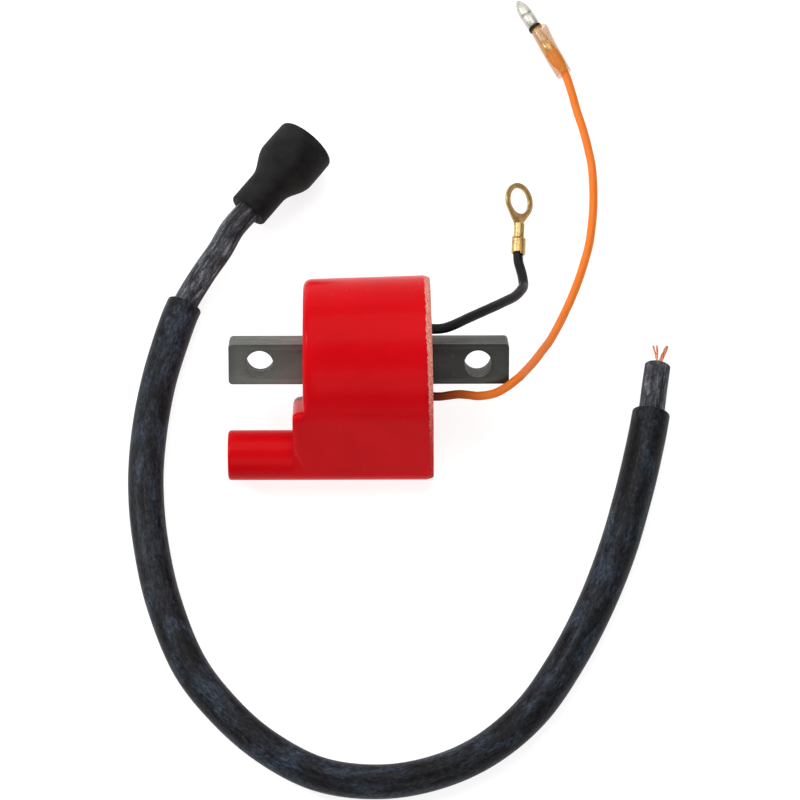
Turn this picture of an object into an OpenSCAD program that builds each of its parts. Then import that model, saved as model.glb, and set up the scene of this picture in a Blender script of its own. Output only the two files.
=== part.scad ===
// Potted ignition coil with a laminated core bar, its two terminal wires and
// the loose high-tension lead with plug boot that goes with it.
// The coil lies on the flat rear side of its casing: +X runs along the core
// bar, +Y points away from the high-tension tower, +Z is up, and z = 0 is the
// surface that everything rests on. Units are millimetres.

/* [Core] */
// Length of the laminated bar
core_l = 77; // [64:1:90]
// Width and thickness of the square bar
core_w = 11.25; // [10:0.25:12]
// Number of steel sheets in the stack
lamination_count = 9; // [3:1:15]
// Film between two sheets
lamination_gap = 0.02; // [0.01:0.01:0.05]
// Distance between the two mounting holes
hole_spacing = 60; // [54:0.5:62]
// Diameter of each mounting hole
hole_d = 7.6; // [6:0.1:8]

/* [Casing] */
// Length of the casing along the bar
case_l = 36; // [34:0.5:40]
// Radius of the casing around the bar
case_r = 22.8; // [22:0.1:24]
// Distance from the bar's axis down to the tower's axis
tower_drop = 27.1; // [26:0.1:29]
// Radius of the high-tension tower
tower_r = 6.95; // [6.5:0.05:7.5]
// How far the tower stands out of the casing's end
tower_l = 21; // [16:0.5:24]
// Radius of the shoulder behind the tower
shoulder_r = 16.2; // [14:0.1:17]
// Thickness of the shoulder
shoulder_l = 2.9; // [2:0.1:4]
// Wall thickness
wall = 2; // [1.5:0.1:2.2]
// How far the sanded end is out of square, in degrees
end_lean = 1.2; // [0:0.1:1.5]

/* [Windings] */
// Length of the primary bobbin
bobbin_l = 29; // [26:0.5:29]
// Radial build of the primary winding
primary_build = 1.8; // [1.2:0.1:2]
// Number of sections in the secondary winding
section_count = 6; // [3:1:8]
// Radial build of the secondary winding
secondary_build = 3.8; // [2:0.1:4]

/* [Wires and lead] */
// Diameter of the primary wire
wire_d = 2.4; // [2:0.1:2.6]
// Diameter of the ground wire
ground_wire_d = 2.8; // [2.4:0.1:2.8]
// Diameter of the high-tension lead
lead_d = 7; // [6.8:0.1:7]
// Outer diameter of the sleeve over the lead
sleeve_d = 10.2; // [9:0.1:10.2]

/* [Terminals] */
// Outer diameter of the ring terminal
ring_d = 10.5; // [10:0.1:11]
// Hole in the ring terminal
ring_hole_d = 7.5; // [5:0.1:7.6]
// Thickness of the terminal's sheet brass
sheet_t = 0.8; // [0.5:0.1:1]
// Diameter of the bullet terminal's pin
bullet_d = 4; // [3.8:0.1:4.2]

/* [Boot] */
// Length of the plug boot
boot_l = 27.2; // [24:0.2:30]
// Outer radius of the boot's neck
neck_r = 5.75; // [5.2:0.05:6.2]
// Outer radius of the boot's wide end
mouth_r = 8.9; // [8.2:0.1:8.9]
// Inner radius of the boot's mouth
mouth_bore_r = 6.6; // [6:0.1:7]

/* [Hidden] */
$fn = 64;
eps = 0.01;

// How the coil lies: both the casing's round back and the tower touch z = 0.
rest_tilt = asin((case_r - tower_r) / tower_drop);
bar_y = (tower_drop * cos(rest_tilt) + tower_r - case_r) / 2;
bar_z = case_r;

case_x = case_l / 2;
cavity_x = case_x - wall;
hole_r = hole_d / 2;

// Where the sanded end lies, at a height in the coil's section
function end_x(up) = case_x - tan(end_lean) * (up + tower_drop + tower_r);

// Windings, from the core outwards
wrap_t = 0.3;
hub_r = 8.9;
tape_t = 0.4;
primary_r = hub_r + primary_build;
primary_flange_r = primary_r + tape_t + 0.5;
primary_flange_t = 1.2;
slip = 0.1;
secondary_hub_in = primary_flange_r + slip;
secondary_hub_r = secondary_hub_in + 0.9;
secondary_r = secondary_hub_r + secondary_build;
secondary_flange_r = secondary_r + 0.8;
secondary_flange_t = 0.9;
secondary_l = bobbin_l - 3;
section_pitch = (secondary_l - secondary_flange_t) / section_count;
outer_wrap_t = 0.3;
outer_wrap_r = secondary_flange_r + outer_wrap_t;

// High-tension side
socket_r = lead_d / 2 + 0.1;
socket_l = tower_l - 3;
contact_head_r = 3;
contact_head_l = 1.4;
contact_shank_r = 1.5;
leadout_r = 0.4;
leadout_x = -cavity_x + 3;

// Low-tension side: where the wires come out of the resin, in the coil's section
ground_exit = [8.7, 0];
primary_exit = [-9.5, 4];
strand_r = 0.6;
splice_r = 1.1;
splice_l = 1.9;
splice_x = bobbin_l / 2 + 0.4;

wire_gap = 0.04;
wire_r = wire_d / 2;
ground_wire_r = ground_wire_d / 2;
lead_r = lead_d / 2;
sleeve_r = sleeve_d / 2;
wire_sides = 8;
lead_sides = 12;

function world(x, p) = [x,
    p[0] * cos(rest_tilt) - p[1] * sin(rest_tilt) + bar_y,
    p[0] * sin(rest_tilt) + p[1] * cos(rest_tilt) + bar_z];

// The boot's axis: its neck's open end, and the direction towards its mouth
boot_neck = [-34.2, 54.8, 8.9];
boot_angle = 52;
boot_seat = 11;
function on_boot(s) = boot_neck + s * [cos(boot_angle), sin(boot_angle), 0];

// Route of the high-tension lead, from inside the boot to its bare end
lead_route = concat([on_boot(boot_seat), on_boot(0), on_boot(-7)], [
    [-42.2, 43, 7.4], [-46.9, 36.1, 6.2], [-52, 27, 5.2], [-55.4, 17, 5.1], [-59, 3, 5.1],
    [-61.2, -12, 5.1], [-61.8, -27, 5.1], [-60.3, -43, 5.1], [-56.5, -60.5, 5.1],
    [-49.5, -78.5, 5.1], [-39.8, -91.7, 5.1], [-28.3, -102.2, 5.1], [-14, -110, 5.1],
    [2, -112.3, 5.1], [17, -110, 5.1], [31.1, -103.6, 5.1], [43.7, -92.8, 5.1], [53.6, -78.5, 5.1],
    [61.7, -63, 5.1], [68.5, -46, 5.1], [73.2, -30.5, 5.1], [77, -15.5, 5.1], [78.9, -6.4, 5.1],
    [80.4, 2.8, 4.1], [81.4, 8.8, 3.6]]);
sleeve_first = 5;
sleeve_last = 25;

// Route of the ground wire, from the resin to the ring terminal
ground_out = world(end_x(ground_exit[0]) + wire_gap, ground_exit);
ground_route = concat([ground_out, ground_out + [2.5, 0, 0]], [
    [22.4, 11.2, 27], [27.2, 14.8, 23.9], [32.7, 19.1, 20], [36.8, 22.7, 16.2],
    [41, 26.8, 11.6], [43.2, 30.5, 8], [44, 33.2, 5], [43.9, 36.4, 3.6], [43.4, 39.3, 2.8],
    [42.9, 41.7, 2.4], [42.8, 44.4, 2.4], [43, 47.6, 2.8]]);

// Route of the primary wire, from the resin to the bullet terminal
primary_out = world(end_x(primary_exit[0]) + wire_gap, primary_exit);
primary_route = concat([primary_out, primary_out + [2.5, 0, 0]], [
    [24.3, -6.8, 21.5], [27.2, -7.4, 22.6], [30.2, -8.2, 23.7], [34.3, -8.1, 25.2],
    [37.8, -6.5, 26.1], [40.4, -4.3, 26], [41.8, -2.7, 25], [45.5, 3.5, 19.3],
    [48.1, 8.3, 15.6], [51.2, 14.3, 11], [55.1, 23.6, 5.6], [58.4, 32, 2.8], [61.2, 40.3, 1.4], [63.5, 49, 1.2],
    [64.8, 60, 1.2], [64.8, 71, 1.2], [63.8, 78, 1.2], [62.4, 84.5, 1.2], [60.7, 90.7, 1.4],
    [59.3, 96.3, 2.1], [57.37, 102.29, 2.6], [53.78, 108.64, 2.6]]);

// Terminals: where their wires enter, and which way they point
ring_place = [42.8, 44.4, 2.4];
ring_heading = 3.5;
ring_pitch = 7.5;
ring_twist = 43;
ring_reach = 15.8;
plate_z = -1;
insulation_crimp_l = 4.3;
insulation_crimp_r = 2;
strand_crimp_l = 4.3;
strand_crimp_r = 1.45;
crimp_gap = 0.2;

bullet_place = [57.37, 102.29, 2.6];
bullet_heading = 29.5;
bullet_sleeve_l = 16.6;
bullet_sleeve_r = 2.55;
bullet_sleeve_bore = 2.2;
bullet_tip = 27;
bullet_wire_end = 7.3;
pin_r = bullet_d / 2;

// Places a child that is drawn in the coil's own upright frame
module at_rest() { translate([0, bar_y, bar_z]) rotate([rest_tilt, 0, 0]) children(); }

// Extrudes a section drawn as (up, front) along X, from x0 to x1
module along_x(x0, x1) { translate([x0, 0, 0]) rotate([90, 0, 90]) linear_extrude(x1 - x0) children(); }

// Round bar and round tube along X on the axis (up, front)
module rod_x(x0, x1, r, p = [0, 0]) { translate([x0, p[0], p[1]]) rotate([0, 90, 0]) cylinder(h = x1 - x0, r = r); }
module tube_x(x0, x1, r_out, r_in, p = [0, 0]) {
    difference() {
        rod_x(x0, x1, r_out, p);
        rod_x(x0 - 1, x1 + 1, r_in, p);
    }
}

// The casing's section: a large and a small circle with their common tangents
module case_section(inset = 0) {
    normal = [-sin(rest_tilt), cos(rest_tilt)];
    big = case_r - inset;
    small = tower_r - inset;
    circle(r = big);
    translate([-tower_drop, 0]) circle(r = small);
    polygon([
        [big * normal[0], big * normal[1]],
        [small * normal[0] - tower_drop, small * normal[1]],
        [small * normal[0] - tower_drop, -small * normal[1]],
        [big * normal[0], -big * normal[1]]]);
}

// Sweeps a regular polygon along a route; end rings are square to the route
function unit(v) = v / norm(v);
function heading(route, i) =
    unit(route[min(i + 1, len(route) - 1)] - route[max(i - 1, 0)]);
function ring_at(route, i, r, sides) =
    let (t = heading(route, i), side = unit(cross([0, 0, 1], t)), up = cross(t, side))
    [for (k = [0:sides - 1]) route[i]
        + r * cos(360 * k / sides) * side + r * sin(360 * k / sides) * up];
function rings(route, r, sides) =
    [for (i = [0:len(route) - 1]) each ring_at(route, i, r, sides)];

module cord(route, r, sides) {
    last = (len(route) - 1) * sides;
    polyhedron(
        points = rings(route, r, sides),
        faces = concat(
            [[for (k = [0:sides - 1]) k]],
            [for (i = [0:len(route) - 2], k = [0:sides - 1]) [
                i * sides + k, (i + 1) * sides + k,
                (i + 1) * sides + (k + 1) % sides, i * sides + (k + 1) % sides]],
            [[for (k = [sides - 1:-1:0]) last + k]]),
        convexity = 6);
}

module hollow_cord(route, r_out, r_in, sides) {
    count = len(route) * sides;
    last = (len(route) - 1) * sides;
    polyhedron(
        points = concat(rings(route, r_out, sides), rings(route, r_in, sides)),
        faces = concat(
            [for (k = [0:sides - 1]) let (n = (k + 1) % sides) [k, n, count + n, count + k]],
            [for (i = [0:len(route) - 2], k = [0:sides - 1]) let (n = (k + 1) % sides)
                [i * sides + k, (i + 1) * sides + k, (i + 1) * sides + n, i * sides + n]],
            [for (i = [0:len(route) - 2], k = [0:sides - 1]) let (n = (k + 1) % sides)
                [count + i * sides + n, count + (i + 1) * sides + n,
                 count + (i + 1) * sides + k, count + i * sides + k]],
            [for (k = [0:sides - 1]) let (n = (k + 1) % sides)
                [last + n, last + k, count + last + k, count + last + n]]),
        convexity = 8);
}

// What the sanding takes off the open end
module sanded_off() {
    translate([case_x, -tower_drop - tower_r, -case_l]) rotate([0, 0, end_lean])
        translate([0, -case_l, 0]) cube([case_l, 4 * case_l, 2 * case_l]);
}

// Moulded casing: open at its right end, with the lead tower at its left end
module housing() {
    tower_axis = [-tower_drop, 0];
    color("firebrick") at_rest() difference() {
        union() {
            along_x(-case_x, case_x) case_section();
            along_x(-case_x - shoulder_l, -case_x + eps) intersection() {
                case_section();
                translate([-tower_drop, 0]) {
                    circle(r = shoulder_r);
                    square([shoulder_r, case_r]);
                }
            }
            rod_x(-case_x - tower_l, -case_x, tower_r, tower_axis);
        }
        along_x(-cavity_x, case_x + 1) case_section(wall);
        cube([case_l * 2, core_w, core_w], center = true);
        rod_x(-case_x - tower_l - 1, -case_x - tower_l + socket_l, socket_r, tower_axis);
        rod_x(-case_x - tower_l, -case_x - tower_l + socket_l + contact_head_l, contact_head_r, tower_axis);
        rod_x(-case_x - tower_l, 0, contact_shank_r, tower_axis);
        sanded_off();
    }
}

// Epoxy that fills the casing around the windings, flush with the open end
module potting_resin() {
    color("indianred") at_rest() difference() {
        along_x(-cavity_x, case_x) case_section(wall);
        cube([case_l * 2, core_w + 2 * wrap_t, core_w + 2 * wrap_t], center = true);
        rod_x(-bobbin_l / 2, bobbin_l / 2, primary_flange_r);
        rod_x(-secondary_l / 2, secondary_l / 2, outer_wrap_r);
        rod_x(-case_x, -cavity_x + 1, contact_shank_r, [-tower_drop, 0]);
        ht_leadout_shape();
        splice_space(ground_exit);
        splice_space(primary_exit);
        sanded_off();
    }
}
module splice_space(p) {
    rod_x(splice_x, splice_x + splice_l, splice_r, p);
    rod_x(splice_x, case_x + 1, strand_r, p);
}

// Stack of steel sheets, lying parallel to the coil's front
module core_laminations() {
    pitch = (core_w + lamination_gap) / lamination_count;
    color("dimgray") at_rest() difference() {
        for (i = [0:lamination_count - 1])
            translate([-core_l / 2, -core_w / 2, -core_w / 2 + i * pitch])
                cube([core_l, core_w, pitch - lamination_gap]);
        for (side = [-1, 1])
            translate([side * hole_spacing / 2, 0, -core_w]) cylinder(h = 2 * core_w, r = hole_r);
    }
}

// Paper wrap between the bar and the bobbin
module core_wrap() {
    color("tan") at_rest() difference() {
        cube([2 * cavity_x, core_w + 2 * wrap_t, core_w + 2 * wrap_t], center = true);
        cube([case_l * 2, core_w, core_w], center = true);
    }
}

module primary_bobbin() {
    color("ivory") at_rest() difference() {
        union() {
            rod_x(-bobbin_l / 2, bobbin_l / 2, hub_r);
            for (side = [-1, 1])
                translate([side * (bobbin_l - primary_flange_t) / 2, 0, 0])
                    rod_x(-primary_flange_t / 2, primary_flange_t / 2, primary_flange_r);
        }
        cube([case_l * 2, core_w + 2 * wrap_t, core_w + 2 * wrap_t], center = true);
    }
}

module primary_winding() {
    half = bobbin_l / 2 - primary_flange_t;
    color("peru") at_rest() tube_x(-half, half, primary_r, hub_r);
}

module interlayer_tape() {
    half = bobbin_l / 2 - primary_flange_t;
    color("khaki") at_rest() tube_x(-half, half, primary_r + tape_t, primary_r);
}

// Sectioned bobbin that slides over the primary
module secondary_bobbin() {
    color("antiquewhite") at_rest() difference() {
        union() {
            rod_x(-secondary_l / 2, secondary_l / 2, secondary_hub_r);
            for (i = [0:section_count])
                translate([-secondary_l / 2 + i * section_pitch, 0, 0])
                    rod_x(0, secondary_flange_t, secondary_flange_r);
        }
        rod_x(-case_l, case_l, secondary_hub_in);
    }
}

// One ring of fine wire in each section of the bobbin
module secondary_winding() {
    color("sienna") at_rest()
        for (i = [0:section_count - 1])
            translate([-secondary_l / 2 + i * section_pitch, 0, 0])
                tube_x(secondary_flange_t, section_pitch, secondary_r, secondary_hub_r);
}

module outer_wrap() {
    color("goldenrod") at_rest()
        tube_x(-secondary_l / 2, secondary_l / 2, outer_wrap_r, secondary_flange_r);
}

// Brass contact at the bottom of the lead socket, with its shank into the resin
module ht_contact() {
    seat = -case_x - tower_l + socket_l;
    color("gold") at_rest() {
        rod_x(seat, seat + contact_head_l, contact_head_r, [-tower_drop, 0]);
        rod_x(seat, -cavity_x + 1, contact_shank_r, [-tower_drop, 0]);
    }
}

// Wire from the outside of the windings down to the contact's shank
module ht_leadout_shape() {
    translate([leadout_x, -tower_drop, 0]) rotate([-90, 0, 0])
        cylinder(h = tower_drop - outer_wrap_r, r = leadout_r);
    rod_x(-cavity_x + 1, leadout_x, leadout_r, [-tower_drop, 0]);
    translate([leadout_x, -tower_drop, 0]) sphere(r = leadout_r);
}
module ht_leadout() { color("chocolate") at_rest() ht_leadout_shape(); }

// Crimped copper sleeves that join the windings to the two wires
module splice(p) { tube_x(splice_x, splice_x + splice_l, splice_r, strand_r, p); }
module ground_splice() { color("silver") at_rest() splice(ground_exit); }
module primary_splice() { color("silver") at_rest() splice(primary_exit); }

// Bare wire ends: one in the splice, one in the terminal's crimp
module ring_frame() {
    translate(ring_place) rotate([0, 0, -ring_heading]) rotate([ring_pitch, 0, 0]) children();
}
module bullet_frame() { translate(bullet_place) rotate([0, 0, bullet_heading]) children(); }
module rod_y(y0, y1, r) { translate([0, y0, 0]) rotate([-90, 0, 0]) cylinder(h = y1 - y0, r = r); }
module tube_y(y0, y1, r_out, r_in) {
    difference() {
        rod_y(y0, y1, r_out);
        rod_y(y0 - 1, y1 + 1, r_in);
    }
}

module ground_conductor() {
    wire_end = norm(ground_route[len(ground_route) - 1] - ring_place);
    color("peru") {
        at_rest() rod_x(splice_x, end_x(ground_exit[0]), strand_r, ground_exit);
        ring_frame() rod_y(wire_end + 0.2, insulation_crimp_l + crimp_gap + strand_crimp_l, strand_r);
    }
}

module primary_conductor() {
    color("peru") {
        at_rest() rod_x(splice_x, end_x(primary_exit[0]), strand_r, primary_exit);
        bullet_frame() rod_y(bullet_wire_end + 0.1, bullet_wire_end + 6.4, strand_r);
    }
}

module ground_wire() { color("black") cord(ground_route, ground_wire_r, wire_sides); }
module primary_wire() { color("darkorange") cord(primary_route, wire_r, wire_sides); }

// Sheet-brass ring terminal: two crimp barrels, a tapered neck and the ring
module ring_terminal() {
    crimp_y = insulation_crimp_l + crimp_gap;
    neck_y = crimp_y + strand_crimp_l;
    ring_y = ring_reach;
    color("darkgoldenrod") ring_frame() rotate([0, ring_twist, 0]) {
        tube_y(0, insulation_crimp_l, insulation_crimp_r, ground_wire_r + 0.05);
        tube_y(crimp_y, neck_y, strand_crimp_r, strand_r);
        difference() {
            union() {
                translate([-1.1, insulation_crimp_l - 1, plate_z])
                    cube([2.2, neck_y - insulation_crimp_l + 2, sheet_t]);
                translate([0, 0, plate_z]) linear_extrude(sheet_t)
                    polygon([[-1.1, neck_y], [1.1, neck_y], [4.2, ring_y - 3.5], [-4.2, ring_y - 3.5]]);
                translate([0, ring_y, plate_z]) cylinder(h = sheet_t, r = ring_d / 2);
            }
            translate([0, ring_y, -3]) cylinder(h = 6, r = ring_hole_d / 2);
            rod_y(0, insulation_crimp_l + 0.01, ground_wire_r + 0.05);
            rod_y(0, neck_y, strand_r);
        }
    }
}

// Turned bullet with a waist and an ogive nose, and its crimp barrel
module bullet_terminal() {
    barrel_y = bullet_wire_end + 3.4;
    shank_y = bullet_sleeve_l + 0.5;
    waist_y = shank_y + 3.8;
    waist_l = 0.5;
    nose_y = waist_y + waist_l;
    nose_l = bullet_tip - nose_y;
    color("lightgray") bullet_frame() {
        tube_y(bullet_wire_end - 1.2, barrel_y, 1.8, wire_r + 0.05);
        tube_y(barrel_y, barrel_y + 3, 1.6, strand_r);
        rod_y(barrel_y + 3, shank_y, 1.6);
        rod_y(shank_y, waist_y, pin_r);
        rod_y(waist_y, waist_y + waist_l, pin_r - 0.4);
        translate([0, nose_y, 0]) rotate([-90, 0, 0]) rotate_extrude()
            polygon(concat([[0, 0]], [for (t = [0:0.125:1]) [pin_r * sqrt(1 - t * t), nose_l * t]]));
    }
}

// Clear sleeve over the crimp, which slides back along the wire
module bullet_sleeve() {
    color("peachpuff") bullet_frame()
        tube_y(0, bullet_sleeve_l, bullet_sleeve_r, bullet_sleeve_bore);
}

module ht_lead() { color("darkslategray") cord(lead_route, lead_r, lead_sides); }

module lead_sleeve() {
    route = [for (i = [sleeve_first:sleeve_last]) lead_route[i]];
    color("black") hollow_cord(route, sleeve_r, lead_r + 0.1, lead_sides);
}

// Frayed copper strands that stand out of the lead's bare end
module core_strands() {
    end = lead_route[len(lead_route) - 1];
    turn = heading(lead_route, len(lead_route) - 1);
    color("sandybrown") translate(end) rotate([0, 0, atan2(turn[1], turn[0]) - 90])
        for (s = [[14, -0.9, 5.2, 0.35], [8, -0.7, 5.6, 0.35], [-13, 0.5, 5.8, 0.5]])
            translate([s[1], 0, 0]) rotate([0, 0, s[0]]) translate([0, 0.1, 0])
                rod_y(0.1, s[2], s[3]);
}

// Brass snap clip that the spark plug's nut pushes into
module plug_clip() {
    color("gold") translate(on_boot(boot_seat)) rotate([0, 0, boot_angle - 90]) {
        rod_y(0, 0.8, 3.4);
        difference() {
            tube_y(0.8, 6.4, 3.9, 3.2);
            translate([-5, 2, -0.5]) cube([10, 6, 1]);
        }
        rod_y(0.8, 1.4, 3.4);
    }
}

// Plug boot: neck, flare and wide mouth, turned about its axis
module rubber_boot() {
    throat_s = 12.2;
    chamber_s = 17.9;
    flare_s = 9.1;
    wide_s = 18.1;
    profile = concat(
        [[lead_r + 0.05, 0], [neck_r, 0], [neck_r, flare_s]],
        [for (i = [1:5]) let (t = i / 6)
            [neck_r + (mouth_r - neck_r) * (1 - cos(180 * t)) / 2, flare_s + (wide_s - flare_s) * t]],
        [[mouth_r, wide_s], [mouth_r, boot_l], [mouth_bore_r, boot_l], [mouth_bore_r, chamber_s],
         [5, chamber_s - 1.4], [5, throat_s - 1.4], [lead_r + 0.05, throat_s - 1.4]]);
    color([0.13, 0.13, 0.14]) translate(boot_neck) rotate([0, 0, boot_angle]) rotate([0, 90, 0])
        rotate_extrude() polygon(profile);
}

housing();
potting_resin();
core_laminations();
core_wrap();
primary_bobbin();
primary_winding();
interlayer_tape();
secondary_bobbin();
secondary_winding();
outer_wrap();
ht_contact();
ht_leadout();
ground_splice();
primary_splice();
ground_conductor();
primary_conductor();
ground_wire();
primary_wire();
ring_terminal();
bullet_terminal();
bullet_sleeve();
ht_lead();
lead_sleeve();
core_strands();
plug_clip();
rubber_boot();
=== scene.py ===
"""Looks of a potted ignition coil with its terminal wires and its loose high-tension lead.

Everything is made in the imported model's frame. Sizes below are in millimetres, and MM turns them into metres.
The coil's casing lies on its flat rear side, so its own section (up, front) is tilted by REST_TILT.
"""
import random
from math import acos, asin, atan2, cos, hypot, pi, radians, sin, sqrt, tan

import bmesh
import bpy
from mathutils import Matrix, Vector, noise


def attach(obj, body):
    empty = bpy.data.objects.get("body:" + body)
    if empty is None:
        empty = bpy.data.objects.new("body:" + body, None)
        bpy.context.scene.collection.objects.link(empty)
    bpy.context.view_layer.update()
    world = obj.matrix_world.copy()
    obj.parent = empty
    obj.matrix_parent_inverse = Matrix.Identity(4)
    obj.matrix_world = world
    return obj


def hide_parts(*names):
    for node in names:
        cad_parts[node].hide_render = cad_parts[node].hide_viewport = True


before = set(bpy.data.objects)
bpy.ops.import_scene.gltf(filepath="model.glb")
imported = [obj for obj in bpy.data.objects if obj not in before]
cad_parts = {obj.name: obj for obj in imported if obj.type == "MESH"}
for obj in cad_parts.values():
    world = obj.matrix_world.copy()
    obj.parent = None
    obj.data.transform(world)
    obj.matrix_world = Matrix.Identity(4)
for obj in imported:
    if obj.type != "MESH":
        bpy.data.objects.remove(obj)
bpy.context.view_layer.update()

MM = 0.001
UP = Vector((0, 0, 1))

# -------- sizes shared with the CAD source
CASE_R, TOWER_R, TOWER_DROP = 22.8, 6.95, 27.1
CASE_X = 18.0
REST_TILT = asin((CASE_R - TOWER_R) / TOWER_DROP)
BAR_Y = (TOWER_DROP * cos(REST_TILT) + TOWER_R - CASE_R) / 2
BAR_Z = CASE_R
END_LEAN = radians(1.2)
BAR_L, BAR_W = 77.0, 11.25
HOLE_SPACING, HOLE_R = 60.0, 3.8
SHOULDER_R, SHOULDER_X = 16.2, -20.9
TOWER_X, SOCKET_X, SOCKET_R = -39.0, -21.0, 3.6
WALL = 2.0
CAVITY_X = WALL - CASE_X  # the floor of the casing's cavity
CONTACT_R, CONTACT_DEPTH, LEADOUT_R = 3.02, 1.4, 1.52
GROUND_R, PRIMARY_R, LEAD_R = 1.4, 1.2, 3.5
BOOT_NECK, BOOT_ANGLE, BOOT_SEAT = Vector((-34.2, 54.8, 8.9)), radians(52), 11.0
GROUND_EXIT, PRIMARY_EXIT = (8.7, 0.0), (-9.5, 4.0)


def from_coil(x, up, front):
    """A point of the coil's own upright frame, in the part's frame."""
    c, s = cos(REST_TILT), sin(REST_TILT)
    return Vector((x, up * c - front * s + BAR_Y, up * s + front * c + BAR_Z))


def end_x(up):
    """Where the sanded end lies at a height in the coil's section."""
    return CASE_X - tan(END_LEAN) * (up + TOWER_DROP + TOWER_R)


def on_boot(s):
    return BOOT_NECK + s * Vector((cos(BOOT_ANGLE), sin(BOOT_ANGLE), 0))


LEAD_ROUTE = [on_boot(BOOT_SEAT), on_boot(0), on_boot(-7)] + [Vector(p) for p in (
    (-42.2, 43, 7.4), (-46.9, 36.1, 6.2), (-52, 27, 5.2), (-55.4, 17, 5.1), (-59, 3, 5.1),
    (-61.2, -12, 5.1), (-61.8, -27, 5.1), (-60.3, -43, 5.1), (-56.5, -60.5, 5.1),
    (-49.5, -78.5, 5.1), (-39.8, -91.7, 5.1), (-28.3, -102.2, 5.1), (-14, -110, 5.1),
    (2, -112.3, 5.1), (17, -110, 5.1), (31.1, -103.6, 5.1), (43.7, -92.8, 5.1), (53.6, -78.5, 5.1),
    (61.7, -63, 5.1), (68.5, -46, 5.1), (73.2, -30.5, 5.1), (77, -15.5, 5.1), (78.9, -6.4, 5.1),
    (80.4, 2.8, 4.1), (81.4, 8.8, 3.6))]
SLEEVE_FIRST, SLEEVE_LAST = 5, 25

GROUND_OUT = from_coil(end_x(GROUND_EXIT[0]), *GROUND_EXIT)
GROUND_ROUTE = [GROUND_OUT - Vector((1.2, 0, 0)), GROUND_OUT + Vector((2.5, 0, 0))] + [Vector(p) for p in (
    (22.4, 11.2, 27), (27.2, 14.8, 23.9), (32.7, 19.1, 20), (36.8, 22.7, 16.2),
    (41, 26.8, 11.6), (43.2, 30.5, 8), (44, 33.2, 5), (43.9, 36.4, 3.6), (43.4, 39.3, 2.8),
    (42.9, 41.7, 2.4), (42.8, 44.4, 2.4), (43, 47.6, 2.8))]

PRIMARY_OUT = from_coil(end_x(PRIMARY_EXIT[0]), *PRIMARY_EXIT)
PRIMARY_ROUTE = [PRIMARY_OUT - Vector((1.2, 0, 0)), PRIMARY_OUT + Vector((2.5, 0, 0))] + [Vector(p) for p in (
    (24.3, -6.8, 21.5), (27.2, -7.4, 22.6), (30.2, -8.2, 23.7), (34.3, -8.1, 25.2),
    (37.8, -6.5, 26.1), (40.4, -4.3, 26), (41.8, -2.7, 25), (45.5, 3.5, 19.3),
    (48.1, 8.3, 15.6), (51.2, 14.3, 11), (55.1, 23.6, 5.6), (58.4, 32, 2.8), (61.2, 40.3, 1.4),
    (63.5, 49, 1.2), (64.8, 60, 1.2), (64.8, 71, 1.2), (63.8, 78, 1.2), (62.4, 84.5, 1.2),
    (60.7, 90.7, 1.4), (59.3, 96.3, 2.1), (57.37, 102.29, 2.6), (53.78, 108.64, 2.6))]

RING_PLACE = Vector((42.8, 44.4, 2.4))
RING_HEADING, RING_PITCH, RING_TWIST = radians(3.5), radians(7.5), radians(43)
RING_FRAME = (Matrix.Translation(RING_PLACE) @ Matrix.Rotation(-RING_HEADING, 4, "Z")
              @ Matrix.Rotation(RING_PITCH, 4, "X") @ Matrix.Rotation(RING_TWIST, 4, "Y"))
RING_R, RING_HOLE_R, RING_REACH, SHEET_T, PLATE_Z = 5.25, 3.75, 15.8, 0.8, -1.0

BULLET_PLACE = Vector((57.37, 102.29, 2.6))
BULLET_HEADING = radians(29.5)
BULLET_FRAME = Matrix.Translation(BULLET_PLACE) @ Matrix.Rotation(BULLET_HEADING, 4, "Z")

SCENE = bpy.context.scene


def add_object(name, data):
    obj = bpy.data.objects.new(name, data)
    SCENE.collection.objects.link(obj)
    return obj


# -------- camera
CAMERA_PLACE = Vector((-3.254, -380.006, 938.889))
CAMERA_TARGET = Vector((8.709, -3.515, 9.375))
CAMERA_ROLL = radians(1.54)
CAMERA_LENS = 162.0


def make_camera():
    data = bpy.data.cameras.new("camera")
    data.lens, data.sensor_width = CAMERA_LENS, 36
    data.clip_start, data.clip_end = 0.05, 20
    cam = add_object("camera", data)
    forward = (CAMERA_TARGET - CAMERA_PLACE).normalized()
    right = forward.cross(UP).normalized()
    up = right.cross(forward)
    c, s = cos(CAMERA_ROLL), sin(CAMERA_ROLL)
    right, up = right * c + up * s, up * c - right * s
    turn = Matrix((right, up, -forward)).transposed().to_4x4()
    cam.matrix_world = Matrix.Translation(CAMERA_PLACE * MM) @ turn
    SCENE.camera = cam


# -------- mesh helpers
SPAN_STEPS = 10


def catmull(points, steps=SPAN_STEPS):
    """Smooth route through the points, with steps points to each span."""
    padded = [2 * points[0] - points[1]] + list(points) + [2 * points[-1] - points[-2]]
    out = []
    for i in range(1, len(padded) - 2):
        a, b, c, d = padded[i - 1:i + 3]
        for k in range(steps):
            t = k / steps
            out.append(0.5 * (2 * b + (c - a) * t + (2 * a - 5 * b + 4 * c - d) * t * t
                              + (3 * b - a - 3 * c + d) * t ** 3))
    return out + [points[-1].copy()]


def lengths(path):
    total, out = 0.0, [0.0]
    for a, b in zip(path, path[1:]):
        total += (b - a).length
        out.append(total)
    return out


def frames(path):
    """A square frame at each point of a path: (side, up) unit vectors."""
    out = []
    for i in range(len(path)):
        t = (path[min(i + 1, len(path) - 1)] - path[max(i - 1, 0)]).normalized()
        side = UP.cross(t).normalized()
        out.append((side, t.cross(side)))
    return out


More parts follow.
